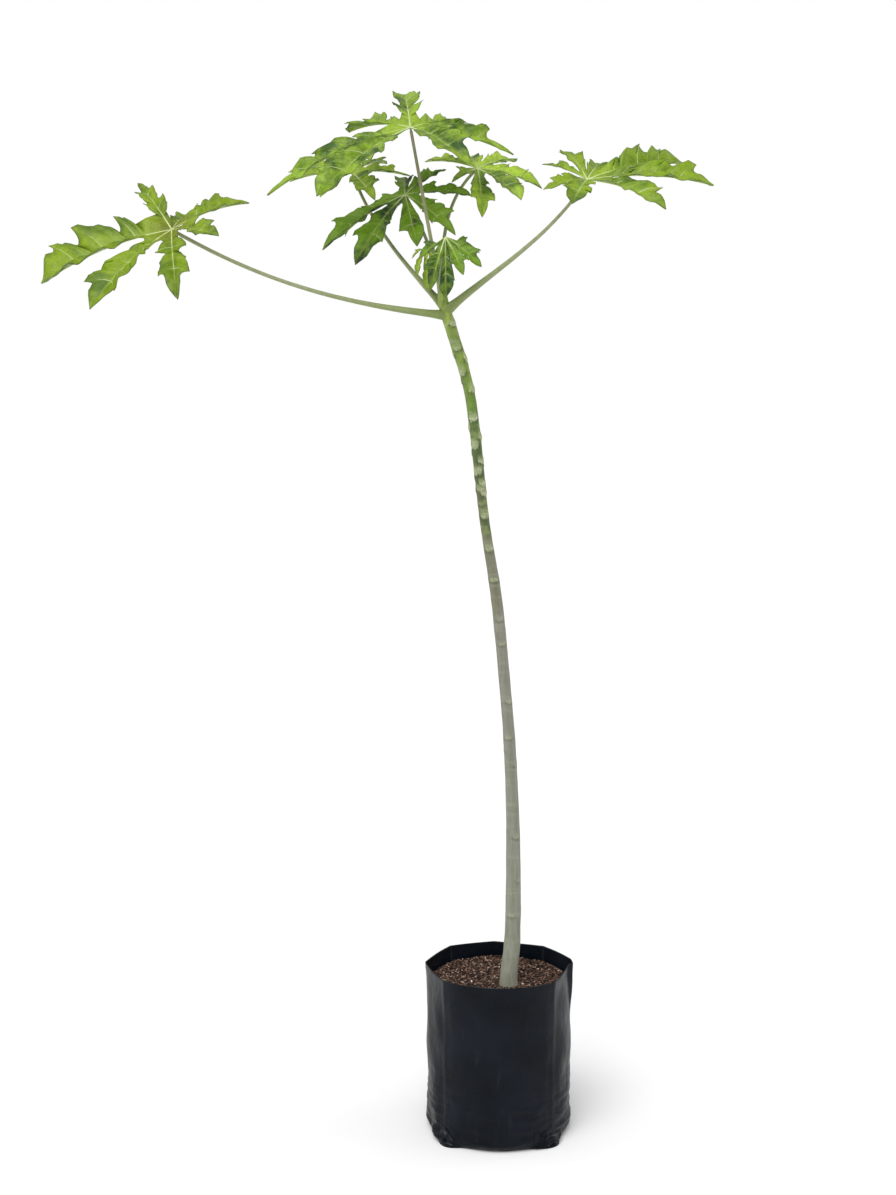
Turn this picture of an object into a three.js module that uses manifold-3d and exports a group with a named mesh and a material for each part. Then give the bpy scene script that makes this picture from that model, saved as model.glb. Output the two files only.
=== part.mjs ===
// A young papaya tree in a black grow bag.
// Millimetres, +Z up. The origin is the centre of the bag's flat underside, and the front is -Y.
import * as THREE from "three";
import { mergeVertices } from "three/addons/utils/BufferGeometryUtils.js";
import Module from "manifold-3d";

const wasm = await Module();
wasm.setup();

// Driving dimensions, in millimetres. Bearings and rises are in degrees: a bearing is
// counter-clockwise from +X seen from above, and a rise is the angle above level.
const CLEARANCE = 0.3; // gap between pieces that touch
const BAG = { rimRadius: 100, sideRadius: 97, rimHeight: 225, wall: 1.5, footRadius: 76, cornerHeight: 13 };
const FLARE = 2; // how much wider the bag is at the soil than lower down
const WAIST = { narrower: 0.5, at: 0.35, ends: 0.6 }; // narrowing, and its heights as shares of the rim's
const FOOT_BULGE = 1; // how far inside the side wall the foot's curve turns up
const FOOT_CORNER = 1.3; // how far the foot's four corners reach out to the side wall
const SOIL_CORNER = 0.75; // how far the soil fills them
const CORNER_SHARPNESS = 6;
const SOIL_HEIGHT = 205;
const SOIL_SLACK = 0.4; // how much narrower than the film's inside the soil is at its top
const TRUNK_SIDES = 12;
const STALK_SIDES = 8;
const STALK_RINGS = 10;
const STALK_HANDLE = 0.36; // share of the way to the other end over which a stalk keeps its heading
const BAG_SIDES = 32;

// The trunk's centre line and thickness, from the flat cut at the soil to the growing tip.
const TRUNK = [
  { x: 12, y: -30, z: SOIL_HEIGHT + CLEARANCE, diameter: 26 },
  { x: 12, y: -30, z: 213, diameter: 23.8 },
  { x: 17, y: -20, z: 263, diameter: 21.5 },
  { x: 18, y: -16, z: 385, diameter: 19 },
  { x: 14, y: -13, z: 507, diameter: 16 },
  { x: 6, y: -11, z: 610, diameter: 15 },
  { x: -5, y: -9, z: 720, diameter: 14.8 },
  { x: -21, y: -6, z: 824, diameter: 12.6 },
  { x: -34, y: -4, z: 941, diameter: 13.5 },
  { x: -43, y: -2, z: 1000, diameter: 13.6 },
  { x: -63, y: -1, z: 1066, diameter: 15 },
  { x: -75, y: 0, z: 1106, diameter: 13.5 },
  { x: -78, y: 0, z: 1136, diameter: 7 },
];

// A leaf faces a bearing and rise, square to its blade. Its lobes go counter-clockwise round its
// hub, from the side of its stalk: bearing, rise and length of each, and a fourth number that
// narrows or widens one. Web is how far out the blade joins one lobe to the next, as a share of the
// shorter of the two. The stalk starts on the trunk's centre line at the joint's height, and has a
// heading (bearing and rise) where it starts and another where it reaches the hub.
const LEAVES = [
  {
    name: "left",
    hub: [-409, -90, 1187],
    faces: [248, 56],
    lobes: [
      [34, 20, 114, 1.2], [80, 16, 100, 0.7], [121, 31, 132, 0.5], [187, -23, 172, 1.25],
      [218, -42, 151, 1.1], [283, -46, 126, 0.8], [325, -9, 79, 1.3],
    ],
    stalk: { joint: 1088, starts: [190, 5], ends: [200, 28], diameters: [10.5, 5.8, 4.8, 4.6] },
    thickness: 3,
    web: 0.25,
    colour: 0x88a53c,
  },
  {
    name: "right",
    hub: [104, -70, 1250],
    faces: [286, 58],
    lobes: [
      [215, -14, 71], [252, -26, 88], [318, -21, 127], [358, -3, 156],
      [33, 11, 158], [75, 18, 100, 0.7], [110, 30, 88], [146, 20, 69],
    ],
    stalk: { joint: 1093, starts: [342, 38], ends: [328, 52], diameters: [11.5, 6.6, 4.6, 3.8] },
    thickness: 3,
    web: 0.25,
    colour: 0x819942,
  },
  {
    name: "back_left",
    hub: [-199, 132, 1286],
    faces: [240, 60],
    lobes: [
      [296, -30, 90], [4, -3, 81], [62, 14, 98, 0.8], [99, 20, 104, 0.7],
      [142, 6, 100, 0.8], [180, -8, 85], [237, -29, 82],
    ],
    stalk: { joint: 1099, starts: [140, 40], ends: [130, 58], diameters: [10, 5.6, 4.6, 4] },
    thickness: 3,
    web: 0.25,
    colour: 0x8fa83a,
  },
  {
    name: "top",
    hub: [-117, 15, 1327],
    faces: [267, 60],
    lobes: [
      [310, -27, 132, 1.1], [4, -14, 137], [51, 6, 124, 0.8], [95, 27, 137, 0.7],
      [132, 4, 126, 1.1], [189, -26, 204, 0.38], [218, -34, 175, 0.95],
    ],
    stalk: { joint: 1112, starts: [222, 74], ends: [119, 69], diameters: [8, 4.8, 4.2, 3.8] },
    thickness: 3.3,
    web: 0.25,
    colour: 0x64802c,
  },
  {
    name: "centre",
    hub: [-125, 60, 1248],
    faces: [255, 56],
    lobes: [
      [320, -34, 104], [353, -2, 88, 0.9], [50, 26, 93, 0.8], [92, 26, 70],
      [163, -18, 54], [191, -34, 132, 1.1], [226, -47, 132, 1.2], [290, -56, 86, 1.2],
    ],
    stalk: { joint: 1116, starts: [112, 62], ends: [156, 60], diameters: [8, 5, 4.4, 4] },
    thickness: 3,
    web: 0.25,
    colour: 0x4c7337,
  },
  {
    name: "right_centre",
    hub: [-29, 90, 1286],
    faces: [286, 58],
    lobes: [
      [229, -24, 58], [275, -52, 89], [321, -33, 86, 1.2], [7, -16, 90, 1.2],
      [58, 12, 96], [98, 16, 100, 0.7], [150, 10, 83],
    ],
    stalk: { joint: 1119, starts: [88, 38], ends: [355, 40], diameters: [8, 5, 4.4, 4] },
    thickness: 3,
    web: 0.25,
    colour: 0x6a8f36,
  },
  {
    name: "young_front",
    hub: [-72, -36, 1184],
    faces: [270, 40],
    lobes: [
      [185, -40, 44], [236, -64, 76], [270, -72, 82], [302, -50, 66],
      [341, -39, 62], [20, -22, 50],
    ],
    stalk: { joint: 1122, starts: [264, 46], ends: [299, 60], diameters: [6, 4.8, 4, 3.6] },
    thickness: 2,
    web: 0.4,
    colour: 0x4e7a2a,
  },
  {
    name: "young_left",
    hub: [-95, -6, 1176],
    faces: [215, 45],
    lobes: [
      [190, -40, 26], [226, -66, 44], [285, -78, 60], [320, -66, 34],
    ],
    stalk: { joint: 1126, starts: [172, 52], ends: [186, 74], diameters: [5, 4, 3.4, 3] },
    thickness: 2,
    web: 0.4,
    colour: 0x9aac3c,
  },
];

// The folded leaves of the bud at the trunk's tip: heading and length of each.
const BUD = [[250, 72, 30], [40, 80, 36], [130, 64, 24]];
const BUD_DIAMETERS = [4.4, 5, 3.6, 1];
const BUD_ARCH = 0.6; // how far up the point lies that they bend towards, as a share of the length

// The shape that every leaf shares, as shares of a lobe's length.
const STALK_NOTCH = 0.3; // share of the gap at the stalk that each side of the blade fills
const ARCH = 0.12; // how far a rib arches above the straight line to its tip
const FOLD = THREE.MathUtils.degToRad(22); // lift of each half blade from its rib
const ROW_SLANT = 0.6; // how far forward a side vein runs for its reach
const FIRST_NOTCH = 0.1; // what is left of a half blade beside the rib before the first lobule
const NOTCH_STEP = 0.01; // how far beyond a lobule's point the notch after it lies
const ROW_STEP = 0.006; // least distance between two side veins on the rib
const FIRST_LOBULE = 1.05; // how far before its point the first lobule starts, for its reach
const BACK_EDGE = [{ along: 0.14, away: 0.42 }, { along: 0.6, away: 0.88 }]; // how it swells
const SWELL = { least: 0.86, spread: 0.28 }; // how unequal lobules are
const CROWDING = 0.88; // share of the gap to the next lobe that a lobule may fill
// Where each lobule's point lies along the rib, how far it reaches from the rib, and what is left
// of the half blade at the notch after it.
const LOBULES = {
  long: [
    { at: 0.38, reach: 0.2, left: 0.11 },
    { at: 0.66, reach: 0.26, left: 0.15 },
    { at: 0.84, reach: 0.2, left: 0.11 },
  ],
  middle: [{ at: 0.47, reach: 0.22, left: 0.11 }, { at: 0.76, reach: 0.2, left: 0.11 }],
  short: [{ at: 0.6, reach: 0.23, left: 0.11 }],
};
const LONG_LOBE = 150;
const MIDDLE_LOBE = 60;

const WOOD = new THREE.MeshStandardMaterial({ color: 0x8b8f74, roughness: 0.75, metalness: 0 });
const STALK = new THREE.MeshStandardMaterial({ color: 0xa3a88a, roughness: 0.6, metalness: 0 });
const FILM = new THREE.MeshStandardMaterial({ color: 0x1f242a, roughness: 0.38, metalness: 0 });
const EARTH = new THREE.MeshStandardMaterial({ color: 0x4e4037, roughness: 0.95, metalness: 0 });

const tree = new THREE.Group();

function addPiece(name, geometry, material) {
  geometry.computeVertexNormals();
  const mesh = new THREE.Mesh(geometry, material);
  mesh.name = name;
  tree.add(mesh);
}

// Solids for cutting and joining.
function solidOf(geometry) {
  const bare = geometry.clone();
  bare.deleteAttribute("normal");
  bare.deleteAttribute("uv");
  const merged = mergeVertices(bare);
  return new wasm.Manifold(
    new wasm.Mesh({
      numProp: 3,
      vertProperties: merged.attributes.position.array,
      triVerts: new Uint32Array(merged.index.array),
    }),
  );
}

function geometryOf(solid) {
  const mesh = solid.getMesh();
  const geometry = new THREE.BufferGeometry();
  geometry.setAttribute("position", new THREE.BufferAttribute(mesh.vertProperties, 3));
  geometry.setIndex(new THREE.BufferAttribute(mesh.triVerts, 1));
  return geometry;
}

function largestBody(solid) {
  const bodies = solid.decompose();
  return bodies.reduce((largest, body) => (body.volume() > largest.volume() ? body : largest));
}

// A heading as a unit vector.
function heading([bearing, rise]) {
  const turn = THREE.MathUtils.degToRad(bearing);
  const lift = THREE.MathUtils.degToRad(rise);
  const level = Math.cos(lift);
  return new THREE.Vector3(level * Math.cos(turn), level * Math.sin(turn), Math.sin(lift));
}

// A number from 0 to 1 that looks random and is always the same for the same seed.
function vary(seed) {
  const wave = Math.sin(seed * 12.9898) * 43758.5453;
  return wave - Math.floor(wave);
}

// A round tapering limb: a cylinder whose rings are laid square to a centre line.
function limb(centreLine, diameterAt, sides, rings, grow = 0) {
  const geometry = new THREE.CylinderGeometry(1, 1, 1, sides, rings);
  const position = geometry.attributes.position;
  const front = new THREE.Vector3(0, -1, 0);
  for (let i = 0; i < position.count; i++) {
    const along = position.getY(i) + 0.5;
    const forward = centreLine.getTangent(along);
    const side = new THREE.Vector3().crossVectors(front, forward).normalize();
    const across = new THREE.Vector3().crossVectors(side, forward);
    const radius = diameterAt(along) / 2 + grow;
    const point = centreLine.getPoint(along);
    point.addScaledVector(side, position.getX(i) * radius);
    point.addScaledVector(across, position.getZ(i) * radius);
    if (along === 0 || along === 1) point.addScaledVector(forward, along ? grow : -grow);
    position.setXYZ(i, point.x, point.y, point.z);
  }
  return geometry;
}

// A smooth run through a list of sizes, read at a share of the way along.
function smoothRun(sizes) {
  const run = new THREE.CatmullRomCurve3(sizes.map((size) => new THREE.Vector3(size, 0, 0)));
  return (along) => run.getPoint(along).x;
}

// The trunk.
const trunkLine = new THREE.CatmullRomCurve3(TRUNK.map(({ x, y, z }) => new THREE.Vector3(x, y, z)));
const trunkDiameter = smoothRun(TRUNK.map((station) => station.diameter));

function trunk(grow) {
  return limb(trunkLine, trunkDiameter, TRUNK_SIDES, 3 * (TRUNK.length - 1), grow);
}

function trunkPointAt(height) {
  let low = 0;
  let high = 1;
  for (let step = 0; step < 30; step++) {
    const middle = (low + high) / 2;
    if (trunkLine.getPoint(middle).z < height) low = middle;
    else high = middle;
  }
  return trunkLine.getPoint(low);
}

// The outline of one half of a lobe, from the first notch to the last, as shares of the lobe's
// length along the rib and away from it. Each lobule swells along its back edge and is drawn in
// along its front edge.
function halfOutline(lobules, web) {
  const first = lobules[0].at - FIRST_LOBULE * lobules[0].reach;
  let notch = new THREE.Vector2(Math.max(first, web), FIRST_NOTCH);
  const outline = [{ along: notch.x, away: notch.y, lobule: -1 }];
  lobules.forEach(({ at, reach, left }, lobule) => {
    const point = new THREE.Vector2(at, reach);
    const next = new THREE.Vector2(at + NOTCH_STEP, left);
    const span = point.clone().sub(notch);
    const swells = BACK_EDGE.map(({ along, away }) => new THREE.Vector2(along, away).multiply(span));
    const back = new THREE.CubicBezierCurve(notch, ...swells.map((swell) => swell.add(notch)), point);
    const front = new THREE.QuadraticBezierCurve(point, new THREE.Vector2(at, notch.y), next);
    for (const edge of [back, front])
      for (const step of [0.5, 1]) {
        const { x, y } = edge.getPoint(step);
        const isNotch = edge === front && step === 1;
        outline.push({ along: x, away: y, lobule: isNotch ? -1 : lobule });
      }
    notch = next;
  });
  return outline;
}

function lobulesFor(length) {
  if (length >= LONG_LOBE) return LOBULES.long;
  return length >= MIDDLE_LOBE ? LOBULES.middle : LOBULES.short;
}

// Where the blade joins two neighbouring lobes, leaning from the first to the second by a share.
function webPoint(tip, neighbour, share, web, up) {
  const length = Math.min(tip.length(), neighbour.length());
  const halfGap = tip.angleTo(neighbour) * Math.min(share, 1 - share);
  const direction = tip.clone().normalize().multiplyScalar(1 - share);
  direction.addScaledVector(neighbour.clone().normalize(), share).normalize();
  const arch = 2 * web * (1 - web) * ARCH * length;
  const lift = web * length * Math.sin(halfGap) * Math.tan(FOLD);
  return direction.multiplyScalar(web * length).addScaledVector(up, arch + lift);
}

// A whole leaf as a sheet round its hub: every lobe has a rib with a half blade on each side.
function leafSheet(leaf, seed) {
  const tips = leaf.lobes.map(([bearing, rise, length]) => heading([bearing, rise]).multiplyScalar(length));
  const count = tips.length;
  const up = heading(leaf.faces);

  const points = [];
  const faces = [];
  const add = (point) => points.push(point) - 1;
  const hub = add(new THREE.Vector3());
  const { web } = leaf;
  const webs = [add(webPoint(tips[0], tips[count - 1], STALK_NOTCH, web, up))];
  for (let i = 1; i < count; i++) webs.push(add(webPoint(tips[i - 1], tips[i], 0.5, web, up)));
  webs.push(add(webPoint(tips[count - 1], tips[0], STALK_NOTCH, web, up)));

  tips.forEach((tip, i) => {
    const length = tip.length();
    const width = leaf.lobes[i][3] ?? 1;
    const crest = tip.clone().multiplyScalar(0.5).addScaledVector(up, ARCH * length);
    const rib = new THREE.QuadraticBezierCurve3(new THREE.Vector3(), crest, tip);
    const outline = halfOutline(lobulesFor(length), web);
    let last = 0;
    const roots = outline.map(({ along, away }) => {
      last = Math.max(along - ROW_SLANT * away, last + ROW_STEP);
      return last;
    });
    const ribPoints = roots.map((root) => add(rib.getPoint(root)));
    const end = add(tip.clone());

    for (const side of [-1, 1]) {
      const neighbour = tips[(i + side + count) % count];
      const crowd = CROWDING * Math.tan(tip.angleTo(neighbour) / 2);
      let innerRib = hub;
      let innerEdge = webs[side < 0 ? i : i + 1];
      const face = (a, b, c) => faces.push(side > 0 ? [a, b, c] : [a, c, b]);
      outline.forEach(({ along, away, lobule }, row) => {
        const chance = vary(seed + 7 * i + 3 * side + lobule);
        const swell = lobule < 0 ? 1 : SWELL.least + SWELL.spread * chance;
        const reach = Math.min(away * swell * width, crowd * along) * length;
        const forward = rib.getTangent(roots[row]);
        const left = up.clone().cross(forward).normalize();
        const normal = forward.clone().cross(left);
        const point = rib.getPoint(roots[row]);
        point.addScaledVector(forward, (along - roots[row]) * length);
        point.addScaledVector(left, side * reach * Math.cos(FOLD));
        point.addScaledVector(normal, reach * Math.sin(FOLD));
        const edge = add(point);
        face(innerRib, ribPoints[row], edge);
        face(innerRib, edge, innerEdge);
        innerRib = ribPoints[row];
        innerEdge = edge;
      });
      face(innerRib, end, innerEdge);
    }
  });
  return { points, faces };
}

// A sheet given a thickness, half of it on each side, with a rim all round.
function thicken({ points, faces }, thickness, place) {
  const sheet = new THREE.BufferGeometry().setFromPoints(points);
  sheet.setIndex(faces.flat());
  sheet.computeVertexNormals();
  const { normal } = sheet.attributes;
  const normals = points.map((point, i) => new THREE.Vector3().fromBufferAttribute(normal, i));
  const corners = [1, -1].flatMap((side) =>
    points.map((point, i) => point.clone().addScaledVector(normals[i], (side * thickness) / 2).add(place)),
  );
  const edges = new Set(faces.flatMap(([a, b, c]) => [`${a},${b}`, `${b},${c}`, `${c},${a}`]));
  const ends = [...edges].map((edge) => edge.split(",").map(Number));
  const rim = ends.filter(([a, b]) => !edges.has(`${b},${a}`));
  const under = points.length;
  const index = [
    ...faces,
    ...faces.map(([a, b, c]) => [c + under, b + under, a + under]),
    ...rim.flatMap(([a, b]) => [[b, a, a + under], [b, a + under, b + under]]),
  ];
  const solid = new THREE.BufferGeometry().setFromPoints(corners);
  solid.setIndex(index.flat());
  return solid;
}

// A leaf's solid, and the same moved a little way down its stalk.
function bladeAndGap(sheet, { thickness, stalk }, hub) {
  const moved = hub.clone().addScaledVector(heading(stalk.ends), -CLEARANCE);
  return [hub, moved].map((place) => solidOf(thicken(sheet, thickness, place)));
}

// A stalk from the trunk's centre line to a hub.
function stalkLine({ joint, starts, ends }, hub) {
  const start = trunkPointAt(joint);
  const handle = STALK_HANDLE * start.distanceTo(hub);
  return new THREE.CubicBezierCurve3(
    start,
    start.clone().addScaledVector(heading(starts), handle),
    hub.clone().addScaledVector(heading(ends), -handle),
    hub,
  );
}

addPiece("trunk", trunk(0), WOOD);

// Each stalk is cut back to clear the trunk, the stalks before it and its own leaf.
const taken = [solidOf(trunk(CLEARANCE))];
LEAVES.forEach((leaf, number) => {
  const hub = new THREE.Vector3(...leaf.hub);
  const sheet = leafSheet(leaf, 100 * number);
  const green = new THREE.MeshStandardMaterial({ color: leaf.colour, roughness: 0.55, metalness: 0 });
  addPiece(`leaf_${leaf.name}`, thicken(sheet, leaf.thickness, hub), green);

  const line = stalkLine(leaf.stalk, hub);
  const diameter = smoothRun(leaf.stalk.diameters);
  const shape = (grow) => solidOf(limb(line, diameter, STALK_SIDES, STALK_RINGS, grow));
  const blades = bladeAndGap(sheet, leaf, hub);
  const stalk = taken.concat(blades).reduce((solid, other) => solid.subtract(other), shape(0));
  addPiece(`stalk_${leaf.name}`, geometryOf(largestBody(stalk)), STALK);
  taken.push(shape(CLEARANCE));
});

// The bud's folded leaves, fused and standing on the trunk's tip.
const apex = trunkLine.getPoint(1).addScaledVector(trunkLine.getTangent(1), CLEARANCE);
const budDiameter = smoothRun(BUD_DIAMETERS);
const spears = BUD.map(([bearing, rise, length]) => {
  const end = heading([bearing, rise]).multiplyScalar(length).add(apex);
  const crest = apex.clone().add(new THREE.Vector3(0, 0, BUD_ARCH * length));
  return solidOf(limb(new THREE.QuadraticBezierCurve3(apex, crest, end), budDiameter, 6, 5));
});
const spray = spears.reduce((all, spear) => all.add(spear));
const bud = taken.reduce((solid, other) => solid.subtract(other), spray);
addPiece("bud", geometryOf(largestBody(bud)), STALK);

// The bag: a thin film shell, open at the top, on a flat underside. Its folded foot keeps four
// corners, which fade out up to the corner height.
const { rimRadius, sideRadius, rimHeight, wall, footRadius, cornerHeight } = BAG;

// A ring of the bag: its radius, its height and how far out its four corners reach.
function bagRings(inset, cornerShare) {
  const foot = new THREE.QuadraticBezierCurve(
    new THREE.Vector2(footRadius, 0),
    new THREE.Vector2(sideRadius - FOOT_BULGE, 0),
    new THREE.Vector2(sideRadius, cornerHeight),
  );
  const side = new THREE.SplineCurve([
    new THREE.Vector2(sideRadius, cornerHeight),
    new THREE.Vector2(sideRadius - WAIST.narrower, WAIST.at * rimHeight),
    new THREE.Vector2(sideRadius, WAIST.ends * rimHeight),
    new THREE.Vector2(sideRadius + FLARE, SOIL_HEIGHT),
    new THREE.Vector2(rimRadius, rimHeight),
  ]);
  const steps = [0, 0.2, 0.4, 0.6, 0.8];
  const footRings = steps.map((step) => {
    const { x, y } = foot.getPoint(step);
    const height = y + inset * (1 - step);
    return { radius: x - inset, height, corner: cornerShare * (sideRadius - x) };
  });
  const sideRings = side.getPoints(8).map(({ x, y }) => ({ radius: x - inset, height: y, corner: 0 }));
  return [...footRings, ...sideRings];
}

function turned(rings) {
  const profile = rings.map(({ radius, height }) => new THREE.Vector2(radius, height));
  const geometry = new THREE.LatheGeometry(profile, BAG_SIDES).rotateX(Math.PI / 2);
  const position = geometry.attributes.position;
  for (let i = 0; i < position.count; i++) {
    const { radius, corner } = rings[i % rings.length];
    if (!corner) continue;
    const turn = Math.atan2(position.getY(i), position.getX(i));
    const scale = 1 + (corner * Math.abs(Math.sin(2 * turn)) ** CORNER_SHARPNESS) / radius;
    position.setXY(i, position.getX(i) * scale, position.getY(i) * scale);
  }
  return geometry;
}

const centre = (height) => ({ radius: 0, height, corner: 0 });
const inside = bagRings(wall, FOOT_CORNER).reverse();
const shell = [centre(0), ...bagRings(0, FOOT_CORNER), ...inside, centre(wall)];
addPiece("grow_bag", turned(shell), FILM);

const soilInset = wall + CLEARANCE;
const soilSide = bagRings(soilInset, SOIL_CORNER).filter(({ height }) => height < SOIL_HEIGHT);
const soilRim = { radius: sideRadius + FLARE - soilInset - SOIL_SLACK, height: SOIL_HEIGHT, corner: 0 };
addPiece("soil", turned([centre(soilInset), ...soilSide, soilRim, centre(SOIL_HEIGHT)]), EARTH);

export default tree;
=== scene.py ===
import math
import random

import bmesh
import bpy
from mathutils import Euler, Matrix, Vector, noise


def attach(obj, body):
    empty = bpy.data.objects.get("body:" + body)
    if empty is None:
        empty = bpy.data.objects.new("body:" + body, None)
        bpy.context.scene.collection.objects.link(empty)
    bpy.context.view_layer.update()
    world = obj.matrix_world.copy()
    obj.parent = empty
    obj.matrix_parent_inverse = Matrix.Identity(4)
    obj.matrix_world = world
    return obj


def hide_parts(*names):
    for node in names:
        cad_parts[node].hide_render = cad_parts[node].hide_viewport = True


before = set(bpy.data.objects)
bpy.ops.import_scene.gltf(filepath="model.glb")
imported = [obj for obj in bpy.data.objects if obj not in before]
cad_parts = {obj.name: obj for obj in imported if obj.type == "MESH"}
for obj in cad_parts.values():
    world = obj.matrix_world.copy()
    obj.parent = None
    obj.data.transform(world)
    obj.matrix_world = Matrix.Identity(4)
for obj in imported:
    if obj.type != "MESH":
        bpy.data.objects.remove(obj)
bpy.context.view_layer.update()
mm = 0.001


def colour(red, green, blue):  # from 0-255 as a colour picker shows it
    channels = [channel / 255 for channel in (red, green, blue)]
    linear = [c / 12.92 if c <= 0.04045 else ((c + 0.055) / 1.055) ** 2.4 for c in channels]
    return (*linear, 1)


def heading(bearing, rise):
    turn, lift = math.radians(bearing), math.radians(rise)
    return Vector((math.cos(lift) * math.cos(turn), math.cos(lift) * math.sin(turn), math.sin(lift)))


def bezier(points, share):
    points = [Vector(p) for p in points]
    while len(points) > 1:
        points = [a.lerp(b, share) for a, b in zip(points, points[1:])]
    return points[0]


def bezierTangent(points, share):
    return bezier([Vector(b) - Vector(a) for a, b in zip(points, points[1:])], share).normalized()


def smoothRun(stations, share):  # a smooth curve through stations, evenly shared out between them
    stations = [Vector(s) for s in stations]
    place = share * (len(stations) - 1)
    i = min(int(place), len(stations) - 2)
    at = place - i
    b, c = stations[i], stations[i + 1]
    a = stations[i - 1] if i > 0 else 2 * b - c
    d = stations[i + 2] if i + 2 < len(stations) else 2 * c - b
    gaps = [(q - p).length ** 0.5 for p, q in ((a, b), (b, c), (c, d))]
    if gaps[1] < 1e-4:
        gaps[1] = 1
    gaps = [gap if gap > 1e-4 else gaps[1] for gap in gaps]
    leave = ((b - a) / gaps[0] - (c - a) / (gaps[0] + gaps[1]) + (c - b) / gaps[1]) * gaps[1]
    arrive = ((c - b) / gaps[1] - (d - b) / (gaps[1] + gaps[2]) + (d - c) / gaps[2]) * gaps[1]
    bend = 3 * (c - b) - 2 * leave - arrive
    curl = 2 * (b - c) + leave + arrive
    return b + leave * at + bend * at ** 2 + curl * at ** 3


def vary(seed):
    wave = math.sin(seed * 12.9898) * 43758.5453
    return wave - math.floor(wave)


def fade(low, high, value):
    share = min(1, max(0, (value - low) / (high - low)))
    return share * share * (3 - 2 * share)


def turnGap(turn, bearing):  # how far a turn, in radians, is past a bearing, in degrees
    return (turn - math.radians(bearing) + math.pi) % (2 * math.pi) - math.pi


def deselect():
    if bpy.context.object and bpy.context.object.mode != "OBJECT":
        bpy.ops.object.mode_set(mode="OBJECT")
    bpy.ops.object.select_all(action="DESELECT")


def pick(*pieces):
    deselect()
    for piece in pieces:
        piece.select_set(True)
    bpy.context.view_layer.objects.active = pieces[0]


def applyModifier(piece, kind, **settings):
    pick(piece)
    modifier = piece.modifiers.new(kind.title(), kind)
    for name, value in settings.items():
        setattr(modifier, name, value)
    bpy.ops.object.modifier_apply(modifier=modifier.name)


def meshPiece(name, points, faces):  # a joined mesh from arrays
    mesh = bpy.data.meshes.new(name)
    mesh.from_pydata(points, [], faces)
    mesh.update()
    piece = bpy.data.objects.new(name, mesh)
    bpy.context.scene.collection.objects.link(piece)
    return piece


def paint(piece, name, values):  # a number for every vertex, that a material reads
    layer = piece.data.attributes.new(name, "FLOAT", "POINT")
    layer.data.foreach_set("value", values)


def wear(piece, *materials):
    for material in materials:
        piece.data.materials.append(material)


def finish(piece, slotName, *nodes):
    pick(piece)
    bpy.ops.object.shade_smooth()
    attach(piece, "root")
    if nodes:
        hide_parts(*nodes)


def selectWhere(test, kind="verts"):  # in edit mode: selects what the test finds
    mesh = bmesh.from_edit_mesh(bpy.context.object.data)
    for group in (mesh.verts, mesh.edges, mesh.faces):
        for item in group:
            item.select = False
    for item in getattr(mesh, kind):
        if test(item):
            item.select_set(True)
    bmesh.update_edit_mesh(bpy.context.object.data)


def unitLimb(name, sides, rings):  # an upright limb of radius 1 and height 1, with even rings
    deselect()
    bpy.ops.mesh.primitive_cylinder_add(vertices=sides, radius=1, depth=1, location=(0, 0, 0.5))
    bpy.ops.object.transform_apply(location=True)
    limb = bpy.context.object
    limb.name = name
    bpy.ops.object.mode_set(mode="EDIT")
    bpy.ops.mesh.select_mode(type="EDGE")
    selectWhere(lambda edge: abs(edge.verts[0].co.z - edge.verts[1].co.z) > 0.5, "edges")
    bpy.ops.mesh.subdivide_edgering(number_cuts=rings - 1, interpolation="LINEAR")
    bpy.ops.object.mode_set(mode="OBJECT")
    return limb


def layAlong(limb, pointAt, tangentAt, radiusAt):  # bends a unit limb onto its centre line
    front = Vector((0, -1, 0))
    frames = {}
    for vertex in limb.data.vertices:
        along = min(1, max(0, round(vertex.co.z, 5)))
        if along not in frames:
            forward = tangentAt(along)
            side = front.cross(forward).normalized()
            frames[along] = (pointAt(along), side, side.cross(forward))
        centre, side, across = frames[along]
        turn = math.atan2(vertex.co.y, vertex.co.x)
        radius = radiusAt(along, turn) * vertex.co.xy.length
        vertex.co = centre + (side * math.cos(turn) + across * math.sin(turn)) * radius


def layOnLine(limb, line, radiusAt, most=1):  # the same onto a bezier line, or a share of it
    def pointAt(along):
        return bezier(line, along * most)

    def tangentAt(along):
        return bezierTangent(line, along)

    layAlong(limb, pointAt, tangentAt, radiusAt)


def newMaterial(name, roughness, specular=0.5):
    material = bpy.data.materials.new(name)
    material.use_nodes = True
    shader = material.node_tree.nodes["Principled BSDF"]
    shader.inputs["Roughness"].default_value = roughness
    shader.inputs["Specular IOR Level"].default_value = specular
    return material, shader


def addNode(material, kind, links=(), **settings):  # a node, with its inputs linked or set
    tree = material.node_tree
    node = tree.nodes.new(kind)
    for name, value in settings.items():
        setattr(node, name, value)
    for socket, value in dict(links).items():
        if hasattr(value, "is_output"):
            tree.links.new(value, node.inputs[socket])
        else:
            node.inputs[socket].default_value = value
    return node


def objectPlace(material, stretch=(1, 1, 1)):
    place = addNode(material, "ShaderNodeTexCoord").outputs["Object"]
    return addNode(material, "ShaderNodeMapping", {"Vector": place, "Scale": stretch}).outputs["Vector"]


def mottle(material, scale, detail=4, roughness=0.5, stretch=(1, 1, 1)):
    place = objectPlace(material, stretch)
    links = {"Vector": place, "Scale": scale, "Detail": detail, "Roughness": roughness}
    return addNode(material, "ShaderNodeTexNoise", links).outputs["Fac"]


def remap(material, value, low, high, toLow=0.0, toHigh=1.0):
    links = {"Value": value, "From Min": low, "From Max": high, "To Min": toLow, "To Max": toHigh}
    return addNode(material, "ShaderNodeMapRange", links).outputs["Result"]


def blend(material, factor, first, second):
    links = {0: factor, 6: first, 7: second}
    return addNode(material, "ShaderNodeMix", links, data_type="RGBA").outputs[2]


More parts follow.
